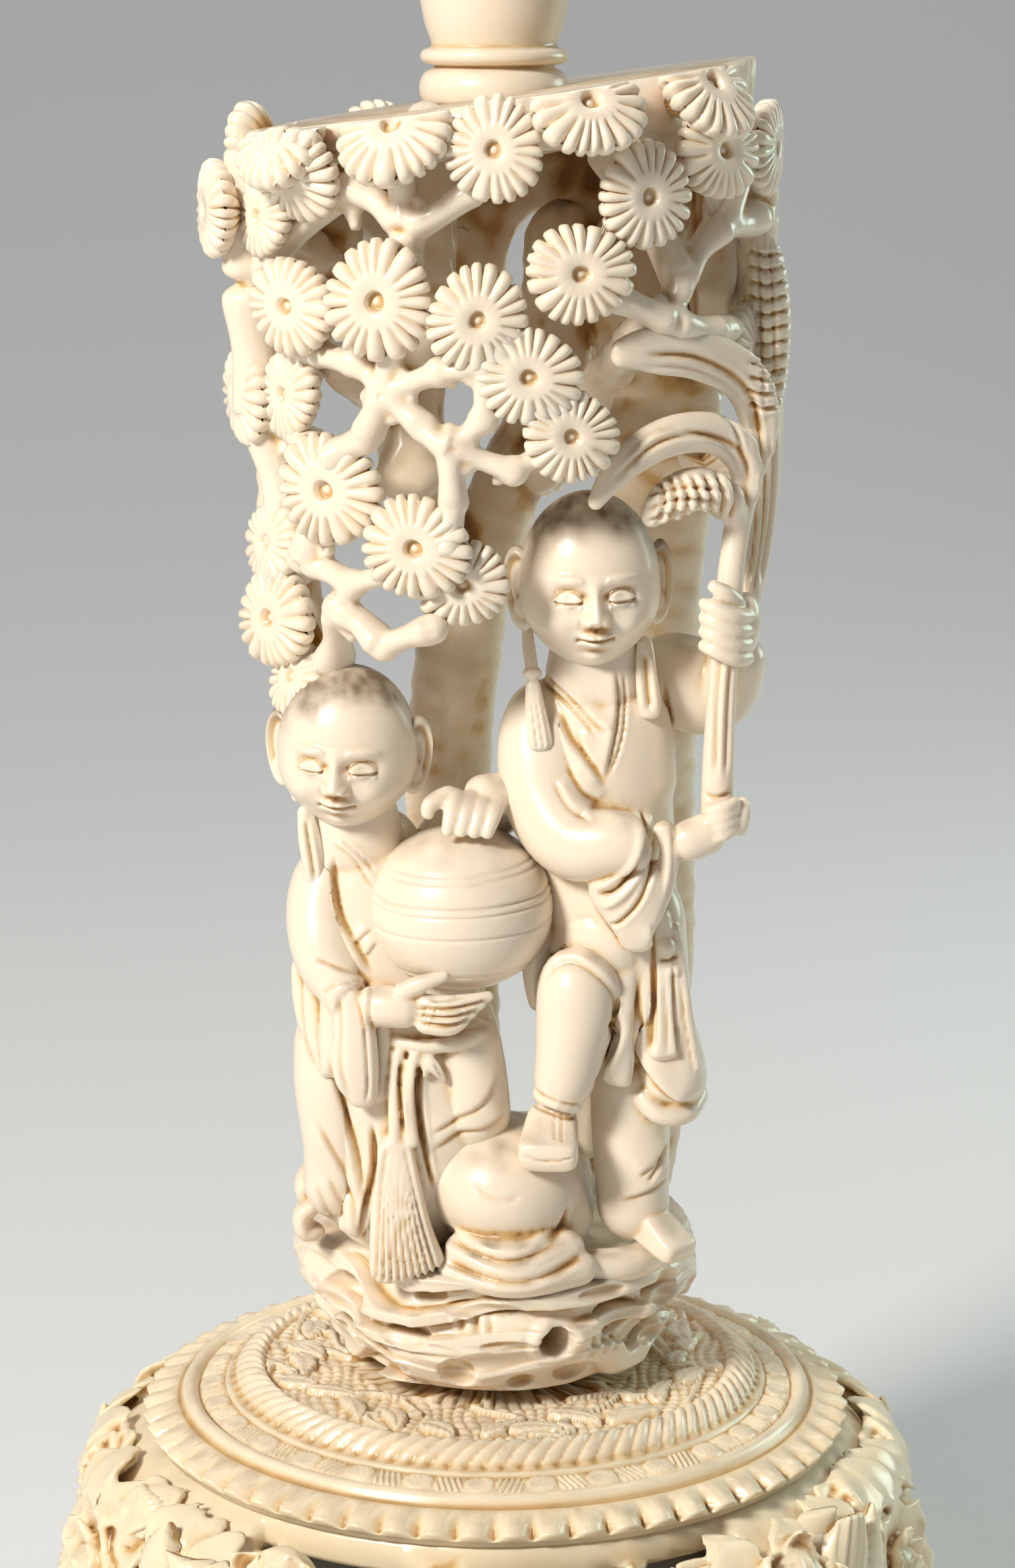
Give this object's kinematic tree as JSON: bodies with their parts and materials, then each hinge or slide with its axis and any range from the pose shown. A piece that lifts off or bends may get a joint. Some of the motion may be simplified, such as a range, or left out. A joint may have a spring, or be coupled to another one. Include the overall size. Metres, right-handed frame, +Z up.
{
  "type": "puzzle ball stand",
  "caption": "Carved ivory stand for a puzzle ball: two boys under pine trees on a rock, on a domed toothed plate over a pierced flower skirt, with a turned stem and cup on top.",
  "frame": {"origin": "middle of the foot ring's lower face, on the surface that it stands on", "axes": "+Z up along the stand's axis, -Y towards the front where the two boys face, +X to the viewer's right"},
  "size_m": [0.12, 0.12, 0.2526],
  "materials": {
    "ivory": "polished, with brown stain in the cuts"
  },
  "bodies": {
    "root": {"foot_ring": "ivory", "flower_skirt": "ivory", "domed_plate": "ivory", "carved_column": "ivory", "turned_stem": "ivory"}
  },
  "joints": []
}
